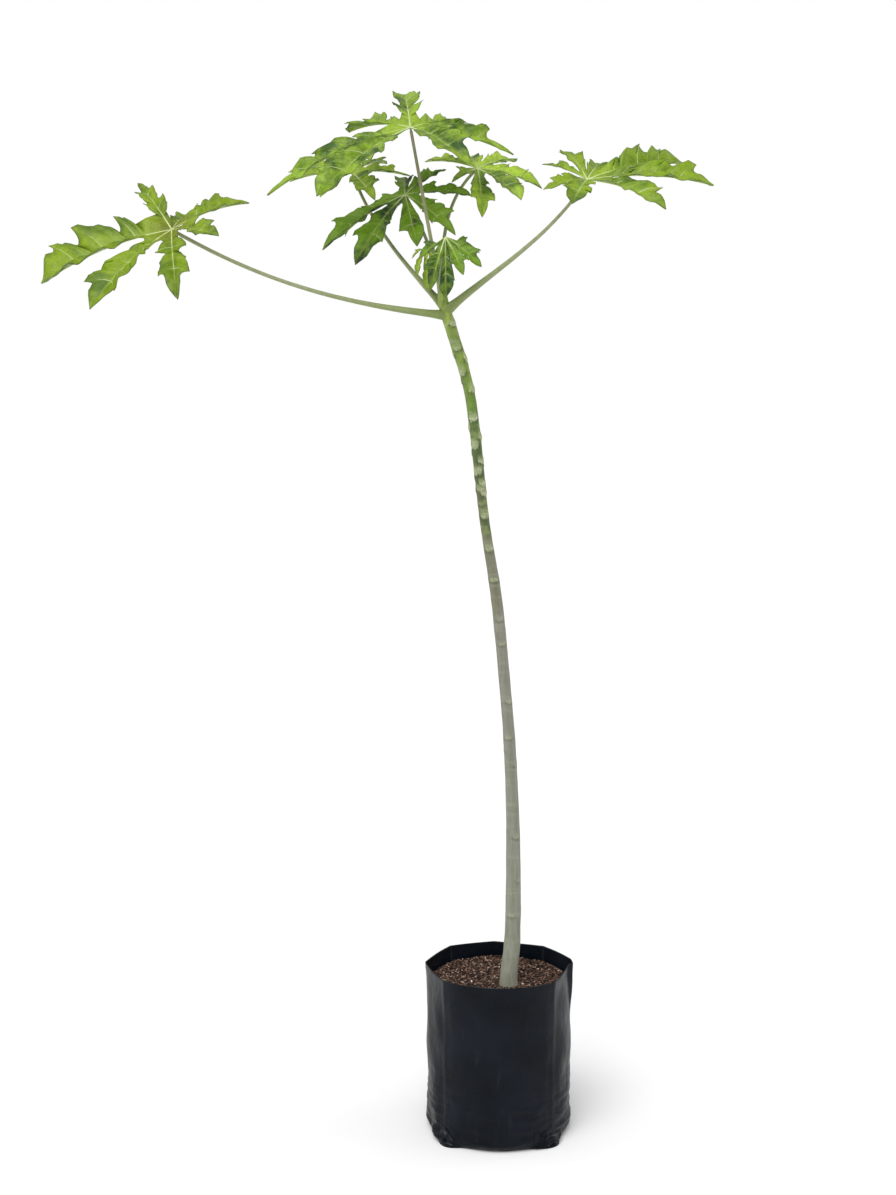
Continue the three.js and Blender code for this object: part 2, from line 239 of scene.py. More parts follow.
def toneRamp(material, factor, tones):  # a colour ramp from places and colours
    node = addNode(material, "ShaderNodeValToRGB", {"Fac": factor})
    stops = node.color_ramp.elements
    for number, (place, tone) in enumerate(tones):
        stop = stops[number] if number < 2 else stops.new(place)
        stop.position, stop.color = place, colour(*tone)
    return node.outputs["Color"]


def painted(material, name):
    return addNode(material, "ShaderNodeAttribute", attribute_name=name).outputs["Fac"]


def tint(material, base, name, strength, tone):  # lays a tone where a painted number is high
    return blend(material, times(material, painted(material, name), strength), base, tone)


def times(material, first, second):
    return addNode(material, "ShaderNodeMath", {0: first, 1: second}, operation="MULTIPLY").outputs[0]


def plus(material, first, second):
    return addNode(material, "ShaderNodeMath", {0: first, 1: second}, operation="ADD").outputs[0]


def dress(material, shader, baseColour, height=None, depth=0.001, strength=1.0, roughness=None):
    tree = material.node_tree
    tree.links.new(baseColour, shader.inputs["Base Color"])
    if roughness is not None:
        tree.links.new(roughness, shader.inputs["Roughness"])
    if height is not None:
        links = {"Height": height, "Distance": depth, "Strength": strength}
        bump = addNode(material, "ShaderNodeBump", links)
        tree.links.new(bump.outputs["Normal"], shader.inputs["Normal"])
    return material


# place, in mm; focal length and the frame's height, in pixels; width of the sensor
camera = {"place": (-68.644, -2200, 965.395), "down": 6.3336, "focal": 1681.88, "tall": 1195,
          "film": 36}

deselect()
bpy.ops.object.camera_add(
    location=Vector(camera["place"]) * mm, rotation=(math.radians(90 - camera["down"]), 0, 0)
)
bpy.context.scene.camera = bpy.context.object
bpy.context.object.data.sensor_width = camera["film"]
bpy.context.object.data.lens = camera["focal"] * camera["film"] / camera["tall"]
bpy.context.scene.view_settings.view_transform = "Standard"

light = {"sky": 0.62, "backdrop": 1.0, "sun": 2.4, "sunTurn": (36, 0, -24), "sunSoftness": 40,
         "aim": (0, 0, 0.6), "floorSize": 60,
         "floorShadeTone": (222, 222, 222), "floorShadeReach": (0.3, 2.2),  # painted shade on the floor by the bag, offsetting the panels' extra light there, and its reach
         "panels": [((-1.6, -0.2, 0.7), 9, (0.5, 1.8)), ((1.6, 0.1, 0.8), 10, (0.5, 1.8)),
                    ((0.4, -1.9, 2.6), 8, (1.4, 1.4))]}

world = bpy.data.worlds.new("studio")
bpy.context.scene.world = world
world.use_nodes = True
sky = world.node_tree.nodes["Background"]
sky.inputs["Color"].default_value = (1, 1, 1, 1)
sky.inputs["Strength"].default_value = light["sky"]
wall = addNode(world, "ShaderNodeBackground", {"Color": (1, 1, 1, 1), "Strength": light["backdrop"]})
seen = addNode(world, "ShaderNodeLightPath").outputs["Is Camera Ray"]
either = addNode(world, "ShaderNodeMixShader", {0: seen, 1: sky.outputs[0], 2: wall.outputs[0]})
worldOutput = world.node_tree.nodes["World Output"]
world.node_tree.links.new(either.outputs[0], worldOutput.inputs["Surface"])

bpy.ops.object.light_add(type="SUN", rotation=[math.radians(a) for a in light["sunTurn"]])
bpy.context.object.data.energy = light["sun"]
bpy.context.object.data.angle = math.radians(light["sunSoftness"])
for place, energy, (wide, tall) in light["panels"]:
    towards = (Vector(light["aim"]) - Vector(place)).to_track_quat("-Z", "Z")
    bpy.ops.object.light_add(type="AREA", location=place, rotation=towards.to_euler())
    panel = bpy.context.object.data
    panel.shape = "RECTANGLE"
    panel.size, panel.size_y, panel.energy = wide, tall, energy

deselect()
bpy.ops.mesh.primitive_plane_add(size=light["floorSize"])
floor = bpy.context.object
floor.name = "floor"
floorMaterial, floorShader = newMaterial("pale floor", 0.9, 0.1)
floorPlace = objectPlace(floorMaterial)
toMiddle = addNode(floorMaterial, "ShaderNodeVectorMath", {0: floorPlace}, operation="LENGTH")
# painted shade: the floor is darker near the bag, where the panels add light
floorShadeMask = remap(floorMaterial, toMiddle.outputs["Value"], *light["floorShadeReach"], 1, 0)
farTone = blend(floorMaterial, mottle(floorMaterial, 3), colour(238, 238, 238), colour(240, 240, 240))
floorTone = blend(floorMaterial, floorShadeMask, farTone, colour(*light["floorShadeTone"]))
wear(floor, dress(floorMaterial, floorShader, floorTone))
print("camera, light and floor")

trunk = {
    "stations": [  # centre line and thickness, from the soil to the growing tip
        (12, -30, 205.3, 26), (12, -30, 213, 23.8), (17, -20, 263, 21.5), (18, -16, 385, 19),
        (14, -13, 507, 16), (6, -11, 610, 15), (-5, -9, 720, 14.8), (-21, -6, 824, 12.6),
        (-34, -4, 941, 13.5), (-43, -2, 1000, 13.6), (-63, -1, 1066, 15), (-75, 0, 1106, 13.5),
        (-78, 0, 1136, 7),
    ],
    "sides": 56,
    "rings": 620,
    "scars": [  # height and bearing of each leaf scar that faces the front
        (1076, 313), (1046, 270), (1031, 348), (1016, 237), (992, 320), (956, 271), (931, 350),
        (921, 243), (900, 321), (887, 244), (872, 301), (865, 258), (859, 314), (829, 281),
        (786, 282), (745, 274), (694, 286), (661, 281), (585, 300), (537, 262), (500, 326),
        (404, 297), (346, 313), (298, 252),
    ],
    "scarWidth": 10.5, "scarHeight": 9.0, "scarLift": 0.35, "scarReach": 16, "topGap": 26,
    "farSide": (165, 30),  # turn from a scar to its partner, and how much that varies
    "youngFrom": (640, 900),  # heights between which old bark gives way to young
    "nodeSwell": 1.1, "nodeHeight": 4.4, "groove": 0.3, "settles": (205, 225),
    "wobble": 0.4, "wobbleHeight": 21, "grain": 0.12, "grainHeight": 9,
}

trunkPlaces = [Vector(station[:3]) for station in trunk["stations"]]
trunkSizes = [(station[3], 0) for station in trunk["stations"]]


def trunkPoint(along):
    return smoothRun(trunkPlaces, along) * mm


def trunkTangent(along, step=1e-4):
    return (trunkPoint(min(1, along + step)) - trunkPoint(max(0, along - step))).normalized()


def trunkDiameter(along):
    return smoothRun(trunkSizes, along).x


# Every front scar has a partner on the far side, halfway up to the next one.
scars = []
for number, (height, bearing) in enumerate(trunk["scars"]):
    upper = trunk["scars"][number - 1][0] if number else height + trunk["topGap"]
    turned, spread = trunk["farSide"]
    scars.append((height, bearing, number))
    scars.append(((height + upper) / 2, bearing + turned + spread * vary(number), number + 50))


def nearScars(height, turn, radius):  # how raised and how scarred the bark is at a place, and the painted shade under its scars
    lift, scar, shade = 0, 0, 0
    for scarHeight, bearing, number in scars:
        rise = height - scarHeight
        if abs(rise) > trunk["scarReach"]:
            continue
        apart = turnGap(turn, bearing)
        young = fade(*trunk["youngFrom"], scarHeight)
        wide = trunk["scarWidth"] * (0.7 + 0.3 * young + 0.25 * vary(number + 0.3))
        tall = trunk["scarHeight"] * (0.5 + 0.5 * young) * (0.75 + 0.4 * vary(number + 0.7))
        uneven = noise.noise(Vector((3 * apart, rise / 3, number)))
        across = apart * radius / (wide / 2) + 0.3 * uneven
        up = rise / (tall / 2) + 0.5 * uneven
        away = math.hypot(across, min(up, 0))  # a U: round below, and fading out above
        inside = (1 - fade(0.82, 1.08, away)) * fade(2.6, -0.4, up)
        lift += trunk["scarLift"] * (0.6 + 0.4 * young) * inside
        swelling = math.exp(-((rise - 1) / trunk["nodeHeight"]) ** 2 - apart * apart)
        lift += trunk["nodeSwell"] * swelling * (0.3 + 0.7 * young)
        scar = max(scar, inside * (0.45 + 0.55 * young) * (0.65 + 0.35 * vary(number + 0.9)))
        below = math.hypot(across, up)
        # painted shade: a dark line under the scar's lower rim, along its groove, and a softer darker
        # band below it, part darker bark and part painted shade
        rim = math.exp(-((below - 1.22) / 0.17) ** 2) * fade(0.5, -0.3, up) * (0.55 + 0.45 * young)
        soft = (1 - fade(1.2, 2.8, below)) * fade(0.2, -0.9, up) * 0.45
        shade = max(shade, rim, soft)
        lift -= trunk["groove"] * rim
    return lift, scar, shade


trunkPiece = unitLimb("trunk_bark", trunk["sides"], trunk["rings"])
scarValues, shadeValues = [], []


def trunkRadius(along, turn):
    half = trunkDiameter(along) / 2
    height = trunkPoint(along).z / mm
    bearing = math.atan2(math.sin(turn), -math.cos(turn))  # an upright limb's turns start from -X
    lift, scar, shade = nearScars(height, bearing, half)
    roundTurn = Vector((math.cos(turn), math.sin(turn), 0))
    wobblePlace = 1.3 * roundTurn + Vector((0, 0, height / trunk["wobbleHeight"]))
    grainPlace = 4 * roundTurn + Vector((0, 0, height / trunk["grainHeight"]))
    ripple = trunk["wobble"] * noise.noise(wobblePlace) + trunk["grain"] * noise.noise(grainPlace)
    settled = fade(*trunk["settles"], height)
    scarValues.append(scar)
    shadeValues.append(shade)
    return (half + (lift + ripple) * settled) * mm


layAlong(trunkPiece, trunkPoint, trunkTangent, trunkRadius)
paint(trunkPiece, "scar", scarValues)
paint(trunkPiece, "scarShade", shadeValues)

bark, barkShader = newMaterial("bark", 0.6, 0.35)
heightNode = addNode(bark, "ShaderNodeSeparateXYZ", {"Vector": objectPlace(bark)}).outputs["Z"]
unevenHeight = plus(bark, heightNode, remap(bark, mottle(bark, 22), 0.3, 0.7, -0.05, 0.05))
barkTones = [(0.0, (126, 127, 114)), (0.25, (120, 121, 110)), (0.52, (118, 116, 106)),
             (0.64, (98, 98, 74)), (0.73, (54, 78, 18)), (0.82, (74, 106, 18)),
             (0.94, (142, 164, 66))]
barkRamp = toneRamp(bark, remap(bark, unevenHeight, 0.2, 1.14), barkTones)
streaks = mottle(bark, 260, 5, 0.6, (1, 1, 0.09))
bands = mottle(bark, 120, 4, 0.6, (0.16, 0.16, 1))
barkColour = blend(bark, remap(bark, streaks, 0.35, 0.7, 0, 0.5), barkRamp, colour(86, 90, 66))
barkColour = blend(bark, remap(bark, bands, 0.55, 0.75, 0, 0.4), barkColour, colour(146, 148, 128))
youngBark = remap(bark, unevenHeight, 0.68, 0.86)
palePatches = remap(bark, mottle(bark, 75, 3), 0.52, 0.62, 0, 0.45)
barkColour = blend(bark, times(bark, palePatches, youngBark), barkColour, colour(128, 140, 82))
darkPatches = remap(bark, mottle(bark, 110, 4, 0.6, (1, 1, 0.5)), 0.54, 0.66, 0, 0.5)
darkPatches = times(bark, darkPatches, remap(bark, youngBark, 0, 1, 0.3, 1))
barkColour = blend(bark, darkPatches, barkColour, colour(62, 68, 36))
scarMix = remap(bark, mottle(bark, 300, 3), 0.4, 0.6)
scarTone = blend(bark, scarMix, colour(136, 146, 104), colour(170, 174, 142))
# painted shade under each scar's lower rim, and a softer darker band below it that is partly darker
# bark
barkColour = tint(bark, barkColour, "scarShade", 0.85, colour(46, 56, 26))
barkColour = tint(bark, barkColour, "scar", 0.9, scarTone)
barkGrain = plus(bark, times(bark, streaks, 0.6), times(bark, bands, 0.8))
dress(bark, barkShader, barkColour, barkGrain, 0.0006, 0.6)
wear(trunkPiece, bark)
finish(trunkPiece, "bark", "trunk")
print("trunk")

# Each leaf faces a bearing and rise. A lobe has a bearing, rise, length and, where given, width.
# Its stalk leaves the trunk at "joint" heading "starts", and meets the hub heading "ends".
leaves = {
    "left": {
        "hub": (-409, -90, 1187), "faces": (248, 56), "web": 0.25,
        "lobes": [(34, 20, 114, 1.2), (80, 16, 100, 0.7), (121, 31, 132, 0.5), (187, -23, 172, 1.25),
                  (218, -42, 151, 1.1), (283, -46, 126, 0.8), (325, -9, 79, 1.3)],
        "joint": 1088, "starts": (190, 5), "ends": (200, 28), "stalk": (10.5, 5.8, 4.8, 4.6),
        "hubGlow": 1, "tones": ((70, 98, 2), (122, 146, 2), (56, 82, 14)),
    },
    "right": {
        "hub": (104, -70, 1250), "faces": (286, 58), "web": 0.25,
        "lobes": [(215, -14, 71), (252, -26, 88), (318, -21, 127), (358, -3, 156), (33, 11, 158),
                  (75, 18, 100, 0.7), (110, 30, 88), (146, 20, 69)],
        "joint": 1093, "starts": (342, 38), "ends": (328, 52), "stalk": (11.5, 6.6, 4.6, 3.8),
        "tones": ((66, 96, 8), (128, 154, 20), (58, 86, 22)),
    },
    "back_left": {
        "hub": (-199, 132, 1286), "faces": (240, 60), "web": 0.25,
        "lobes": [(296, -30, 90), (4, -3, 81), (62, 14, 98, 0.8), (99, 20, 104, 0.7),
                  (142, 6, 100, 0.8), (180, -8, 85), (237, -29, 82)],
        "joint": 1099, "starts": (140, 40), "ends": (130, 58), "stalk": (10, 5.6, 4.6, 4),
        "tones": ((54, 88, 4), (142, 168, 16), (58, 88, 18)),
    },
    "top": {
        "hub": (-117, 15, 1327), "faces": (267, 60), "web": 0.25,
        "lobes": [(310, -27, 132, 1.1), (4, -14, 137), (51, 6, 124, 0.8), (95, 27, 137, 0.7),
                  (132, 4, 126, 1.1), (189, -26, 204, 0.38), (218, -34, 175, 0.95)],
        "joint": 1112, "starts": (222, 74), "ends": (119, 69), "stalk": (8, 4.8, 4.2, 3.8),
        "brown": 0.6, "tones": ((36, 72, 8), (136, 166, 36), (54, 88, 26)),
    },
    "centre": {
        "hub": (-125, 60, 1248), "faces": (255, 56), "web": 0.25,
        "lobes": [(320, -34, 104), (353, -2, 88, 0.9), (50, 26, 93, 0.8), (92, 26, 70), (163, -18, 54),
                  (191, -34, 132, 1.1), (226, -47, 132, 1.2), (290, -56, 86, 1.2)],
        "joint": 1116, "starts": (112, 62), "ends": (156, 60), "stalk": (8, 5, 4.4, 4),
        "lobeShare": 0.9, "tones": ((2, 38, 26), (108, 146, 14), (18, 52, 36)),
    },
    "right_centre": {
        "hub": (-29, 90, 1286), "faces": (286, 58), "web": 0.25,
        "lobes": [(229, -24, 58), (275, -52, 89), (321, -33, 86, 1.2), (7, -16, 90, 1.2), (58, 12, 96),
                  (98, 16, 100, 0.7), (150, 10, 83)],
        "joint": 1119, "starts": (88, 38), "ends": (355, 40), "stalk": (8, 5, 4.4, 4),
        "tones": ((46, 84, 18), (166, 194, 54), (60, 94, 32)),
    },
    "young_front": {
        "hub": (-72, -36, 1184), "faces": (270, 40), "web": 0.4,
        "lobes": [(185, -40, 44), (236, -64, 76), (270, -72, 82), (302, -50, 66), (341, -39, 62),
                  (20, -22, 50)],
        "joint": 1122, "starts": (264, 46), "ends": (299, 60), "stalk": (6, 4.8, 4, 3.6),
        "tones": ((10, 50, 4), (98, 136, 8), (32, 66, 14)),
    },
    "young_left": {
        "hub": (-95, -6, 1176), "faces": (215, 45), "web": 0.4,
        "lobes": [(190, -40, 26), (226, -66, 44), (285, -78, 60), (320, -66, 34)],
        "joint": 1126, "starts": (172, 52), "ends": (186, 74), "stalk": (5, 4, 3.4, 3),
        "tones": ((76, 106, 18), (136, 158, 30), (76, 100, 26)),
    },
}
stalk = {"sides": 20, "rings": 96, "handle": 0.36, "baseFlare": 0.32, "flareReach": 14,
         "hubTaper": 4.5, "hubGap": 0.6, "groove": 0.22, "grooveWidth": 0.5, "wobble": 0.15}


def trunkShareAt(height, halvings=30):
    low, high = 0, 1
    for _ in range(halvings):
        middle = (low + high) / 2
        if trunkPoint(middle).z < height * mm:
            low = middle
        else:
            high = middle
    return low


stem, stemShader = newMaterial("leaf stalk", 0.42, 0.45)
stemTones = [(0.0, (112, 130, 58)), (0.14, (124, 136, 84)), (0.6, (136, 143, 108)),
             (1.0, (128, 134, 92))]
stemRamp = toneRamp(stem, painted(stem, "along"), stemTones)
stemStreaks = mottle(stem, 160, 4, 0.6)
stemColour = blend(stem, remap(stem, stemStreaks, 0.4, 0.7, 0, 0.5), stemRamp, colour(104, 114, 66))
stemSpecks = remap(stem, mottle(stem, 900, 2), 0.62, 0.75, 0, 0.4)
stemColour = blend(stem, stemSpecks, stemColour, colour(150, 152, 124))
stemColour = blend(stem, painted(stem, "brown"), stemColour, colour(92, 80, 58))
dress(stem, stemShader, stemColour, stemStreaks, 0.0005, 0.4)

for name, leaf in leaves.items():
    start = trunkPoint(trunkShareAt(leaf["joint"]))
    hub = Vector(leaf["hub"]) * mm
    handle = stalk["handle"] * (hub - start).length
    line = [start, start + heading(*leaf["starts"]) * handle,
            hub - heading(*leaf["ends"]) * handle, hub]
    reach = (hub - start).length / mm
    sizes = [(size, 0) for size in leaf["stalk"]]
    alongValues = []

    def stalkRadius(along, turn, sizes=sizes, reach=reach, seed=len(name)):
        half = smoothRun(sizes, along).x / 2
        half *= 1 + stalk["baseFlare"] * math.exp(-((along * reach) / stalk["flareReach"]) ** 2)
        half *= 1 - 0.5 * fade(stalk["hubTaper"], 0, (1 - along) * reach)
        inGroove = math.exp(-((turn - math.pi / 2) / stalk["grooveWidth"]) ** 2)
        half -= stalk["groove"] * inGroove * fade(0.05, 0.3, along)
        alongValues.append(along)
        return (half + stalk["wobble"] * noise.noise(Vector((turn, along * reach / 25, seed)))) * mm

    stalkPiece = unitLimb("stalk_" + name + "_skin", stalk["sides"], stalk["rings"])
    layOnLine(stalkPiece, line, stalkRadius, 1 - stalk["hubGap"] / reach)
    paint(stalkPiece, "along", alongValues)
    browning = leaf.get("brown", 0)
    paint(stalkPiece, "brown", [browning * fade(0.1, 0.8, along) for along in alongValues])
    wear(stalkPiece, stem)
    finish(stalkPiece, "stalk", "stalk_" + name)
print("stalks")

blade = {
    "stalkNotch": 0.3, "arch": 0.12, "fold": 22, "rowSlant": 0.6, "crowding": 0.88,
    # lobules of a half lobe: place along the rib, reach, and what is left at the notch after it
    "long": [(0.38, 0.2, 0.11), (0.66, 0.26, 0.15), (0.84, 0.2, 0.11)],
    "middle": [(0.47, 0.22, 0.11), (0.76, 0.2, 0.11)],
    "short": [(0.6, 0.23, 0.11)],
    "longLobe": 150, "middleLobe": 60, "firstNotch": 0.1,
    "overhang": 0.035,  # how far a lobule's point hangs over the notch in front of it
    "shift": 0.05, "notchSpread": 1.0, "tooth": 0.012, "toothRow": 4,
    "backRows": 8, "frontRows": 5, "endRows": 6,  # rows before and after a point, and to the tip
    "columns": (0, 0.045, 0.12, 0.24, 0.4, 0.58, 0.76, 0.92, 1),  # places from the rib to the edge
    "thickness": 0.55, "pucker": 0.018, "puckerReach": 3.2, "bow": 0.06, "wave": 0.016,
    "webRows": 5, "webRoot": 0.72, "webVeins": (3, 5), "ribSteps": 40,
    "rootStep": 0.0016, "lastRoot": 0.995,  # where rows may start on the rib, as shares of it
    "weld": 0.02,
    "fullLobe": 110,  # length from which a lobe has full-sized veins
    "veinRows": {3: 1, 5: 1, 8: 2},  # kind of vein on a lobule's rows: 1 fine, 2 the lobule's own
    "swell": (0.86, 0.28),  # least share of a lobule's reach, and how much that varies
    "midrib": (1.15, 0.3), "sideVein": (0.7, 0.22), "fineVein": (0.32, 0.12),  # from root to tip
    "ribGlow": 2, "veinGlow": 0.9, "edgeShadeReach": 1.5, "hubReach": 26,  # how far their tones reach; the edge's tone is painted shade
}


def lobulesFor(length):
    if length >= blade["longLobe"]:
        return blade["long"]
    return blade["middle"] if length >= blade["middleLobe"] else blade["short"]


def halfOutline(lobules, web, seed=None):  # a half lobe's rows: place, lobule and kind of vein
    at, reach, _ = lobules[0]
    notch = Vector((max(at - 1.05 * reach, web), blade["firstNotch"]))
    rows = [(notch, -1, 0)]
    for number, (at, reach, left) in enumerate(lobules):
        if seed is not None:
            at += blade["shift"] * (vary(seed + 1.7 * number) - 0.5)
            left *= 1 + blade["notchSpread"] * (vary(seed + 2.3 * number) - 0.5)
        point, following = Vector((at, reach)), Vector((at + 0.01, left))
        span = point - notch
        back = [notch, notch + Vector((0.06 * span.x, 0.55 * span.y)),
                notch + Vector((0.5 * span.x, 0.97 * span.y)), point]
        front = [point, point + Vector((-0.6 * blade["overhang"], -0.45 * (reach - left))),
                 Vector((at - 1.3 * blade["overhang"], left)), following]
        for step in range(1, blade["backRows"] + 1):
            place = bezier(back, step / blade["backRows"])
            if step == blade["toothRow"]:  # a small tooth on the back edge, and a nick after it
                place += blade["tooth"] * Vector((0.6, 1))
            elif step == blade["toothRow"] + 1:
                place -= blade["tooth"] * Vector((0, 0.8))
            rows.append((place, number, blade["veinRows"].get(step, 0)))
        for step in range(1, blade["frontRows"] + 1):
            rows.append((bezier(front, step / blade["frontRows"]), number if step < 4 else -1, 0))
        notch = following
    end = [notch, notch + Vector((0.35 * (1 - notch.x), 0.15 * notch.y)),
           Vector((0.97, 0.3 * notch.y)), Vector((1, 0))]
    for step in range(1, blade["endRows"] + 1):
        rows.append((bezier(end, step / blade["endRows"]), -1, 1 if step == 2 else 0))
    return rows


def webPoint(tip, neighbour, share, web, up):
    length = min(tip.length, neighbour.length)
    halfGap = tip.angle(neighbour) * min(share, 1 - share)
    direction = (tip.normalized() * (1 - share) + neighbour.normalized() * share).normalized()
    arch = 2 * web * (1 - web) * blade["arch"] * length
    lift = web * length * math.sin(halfGap) * math.tan(math.radians(blade["fold"]))
    return direction * web * length + up * (arch + lift)


def addTube(points, faces, path, radii, up, sides=6, flatness=0.8):  # tapered, closed at both ends
    first = len(points)
    for i, centre in enumerate(path):
        ahead = (path[min(i + 1, len(path) - 1)] - path[max(i - 1, 0)]).normalized()
        side = up.cross(ahead).normalized()
        over = ahead.cross(side)
        share = i / (len(path) - 1)
        radius = radii[0] + (radii[1] - radii[0]) * share
        for corner in range(sides):
            turn = 2 * math.pi * corner / sides
            spoke = side * math.cos(turn) + over * math.sin(turn) * flatness
            points.append(centre + spoke * radius)
    for i in range(len(path) - 1):
        for corner in range(sides):
            a, b = first + i * sides + corner, first + i * sides + (corner + 1) % sides
            faces.append((a, b, b + sides, a + sides))
    faces.append(tuple(first + corner for corner in reversed(range(sides))))
    last = first + (len(path) - 1) * sides
    faces.append(tuple(last + corner for corner in range(sides)))


def leafMesh(leaf, seed):  # the blade as a sheet and its veins as tubes, round a hub at the origin
    tips = [heading(*lobe[:2]) * lobe[2] for lobe in leaf["lobes"]]
    up = heading(*leaf["faces"])
    web = leaf["web"]
    columns = len(blade["columns"]) - 1
    points, faces, veinNear, edgeShade, lobeTone = [], [], [], [], []
    tubes, tubeFaces = [], []
    fold = math.radians(blade["fold"])

    for i, tip in enumerate(tips):
        length = tip.length
        width = leaf["lobes"][i][3] if len(leaf["lobes"][i]) > 3 else 1
        rib = [Vector(), tip * 0.5 + up * blade["arch"] * length, tip]
        lobules = lobulesFor(length)
        roots, last = [], 0
        for place, _, _ in halfOutline(lobules, web)[:-1]:
            last = max(place.x - blade["rowSlant"] * place.y, last + blade["rootStep"])
            roots.append(min(last, blade["lastRoot"]))
        roots.append(1)
        webRoot = blade["webRoot"] * web
        ribPath = [bezier(rib, step / blade["ribSteps"]) for step in range(blade["ribSteps"])]
        thin = min(1, length / blade["fullLobe"])
        addTube(tubes, tubeFaces, ribPath, (blade["midrib"][0] * thin, blade["midrib"][1]), up)

        for side in (-1, 1):
            tone = fade(0.3, 0.7, vary(seed + 11 * i + side))
            away = i + side
            inGap = away < 0 or away >= len(tips)
            neighbour = tips[away % len(tips)]
            crowd = blade["crowding"] * math.tan(tip.angle(neighbour) / 2)
            share = blade["stalkNotch"] if inGap else 0.5
            rows = []  # root on the rib, edge, kind of vein, and 1 past the web
            for step in range(1, blade["webRows"] + 1):
                part = step / blade["webRows"]
                edge = webPoint(tip, neighbour, share, web * part, up)
                rows.append((webRoot * part, edge, 1 if step in blade["webVeins"] else 0, 0))
            outline = halfOutline(lobules, web, seed + 13 * i + 5 * side)
            for number, (place, lobule, vein) in enumerate(outline):
                swell = 1
                if lobule >= 0:
                    least, spread = blade["swell"]
                    swell = least + spread * vary(seed + 7 * i + 3 * side + lobule)
                reach = min(place.y * swell * width, crowd * place.x) * length
                root = roots[number]
                forward = bezierTangent(rib, root)
                left = up.cross(forward).normalized()
                normal = forward.cross(left)
                edge = bezier(rib, root) + forward * (place.x - root) * length
                edge += left * side * reach * math.cos(fold) + normal * reach * math.sin(fold)
                ripple = math.sin(place.x * 26 + i * 1.7 + side) + 0.6 * math.sin(place.x * 47 + i)
                ripple *= min(1, place.y / 0.15) * fade(0.3, 0.45, place.x)
                edge += normal * ripple * blade["wave"] * length
                rows.append((root, edge, vein, 1))
            first = len(points)
            veinRoots = [root for root, _, vein, _ in rows if vein]
            for root, edge, _, outer in rows:
                base = bezier(rib, root)
                forward = bezierTangent(rib, root)
                normal = forward.cross(up.cross(forward).normalized())
                span = edge - base
                reach = span.length
                near = min((abs(root - veinRoot) for veinRoot in veinRoots), default=1) * length
                puff = 1 - math.exp(-(near / blade["puckerReach"]) ** 2)
                puff *= blade["pucker"] * length * outer
                for part in blade["columns"]:
                    swept = span * part
                    if outer:  # side veins leave the rib steeply and bend forward
                        ahead = span.dot(forward)
                        swept = (span - forward * ahead) * part + forward * ahead * part ** 1.35
                    bow = (blade["bow"] * reach * outer + 0.6 * puff) * math.sin(math.pi * part)
                    points.append(base + swept + normal * bow)
                    ribNear = math.exp(-((part * reach) / blade["ribGlow"]) ** 2) * (1 - 0.5 * root)
                    sideNear = math.exp(-(near / blade["veinGlow"]) ** 2) * (1 - 0.55 * part) * 0.35
                    veinNear.append(min(1, max(ribNear, sideNear)))
                    lobeTone.append(tone)
                    # painted shade, darkening the blade towards its edge
                    edgeShade.append(math.exp(-(1 - part) * reach / blade["edgeShadeReach"]) * outer)
            for row, (root, edge, vein, outer) in enumerate(rows):
                if row + 1 < len(rows):
                    for column in range(columns):
                        a = first + row * (columns + 1) + column
                        b = a + columns + 1
                        faces.append((a, b, b + 1, a + 1) if side > 0 else (a, a + 1, b + 1, b))
                if vein:
                    size = blade["sideVein" if vein == 2 else "fineVein"]
                    start = first + row * (columns + 1)
                    veinPath = points[start:start + columns - (vein == 1)]
                    addTube(tubes, tubeFaces, veinPath, (size[0] * thin, size[1]), up, 5)
            hub = len(points)
            points.append(Vector())
            veinNear.append(1)
            edgeShade.append(0)
            lobeTone.append(tone)
            for column in range(columns):
                a = first + column
                faces.append((hub, a, a + 1) if side > 0 else (hub, a + 1, a))
    return points, faces, veinNear, edgeShade, lobeTone, tubes, tubeFaces


def leafMaterial(name, dark, bright, vein, net, lobeShare):
    material, shader = newMaterial(name, 0.44, 0.22)
    clouds = remap(material, mottle(material, 24, 5, 0.65), 0.41, 0.59)
    base = blend(material, clouds, dark, bright)
    base = tint(material, base, "lobeTone", lobeShare, bright)
    specks = remap(material, mottle(material, 420, 3, 0.7), 0.35, 0.7, 0, 0.35)
    base = blend(material, specks, base, dark)
    links = {"Vector": objectPlace(material), "Scale": 330}
    cells = addNode(material, "ShaderNodeTexVoronoi", links, feature="DISTANCE_TO_EDGE")
    cells = cells.outputs["Distance"]
    base = blend(material, remap(material, cells, 0.0, 0.12, net, 0), base, vein)
    base = tint(material, base, "veinNear", 0.7, vein)
    base = tint(material, base, "hubNear", 0.85, colour(100, 102, 4))
    # painted shade: the blade darkens towards its edge
    base = tint(material, base, "edgeShade", 0.55, colour(52, 60, 30))
    quilt = plus(material, cells, mottle(material, 60, 3))
    shader.inputs["Subsurface Weight"].default_value = 0.12
    shader.inputs["Subsurface Radius"].default_value = (0.5, 1, 0.15)
    shader.inputs["Subsurface Scale"].default_value = 0.002
    return dress(material, shader, base, quilt, 0.0008, 0.6)


veinMaterial, veinShader = newMaterial("leaf vein", 0.45, 0.4)
veinMix = remap(veinMaterial, mottle(veinMaterial, 70, 3), 0.35, 0.65)
veinTone = blend(veinMaterial, veinMix, colour(204, 214, 164), colour(170, 188, 116))
dress(veinMaterial, veinShader, veinTone, mottle(veinMaterial, 500), 0.0002, 0.3)

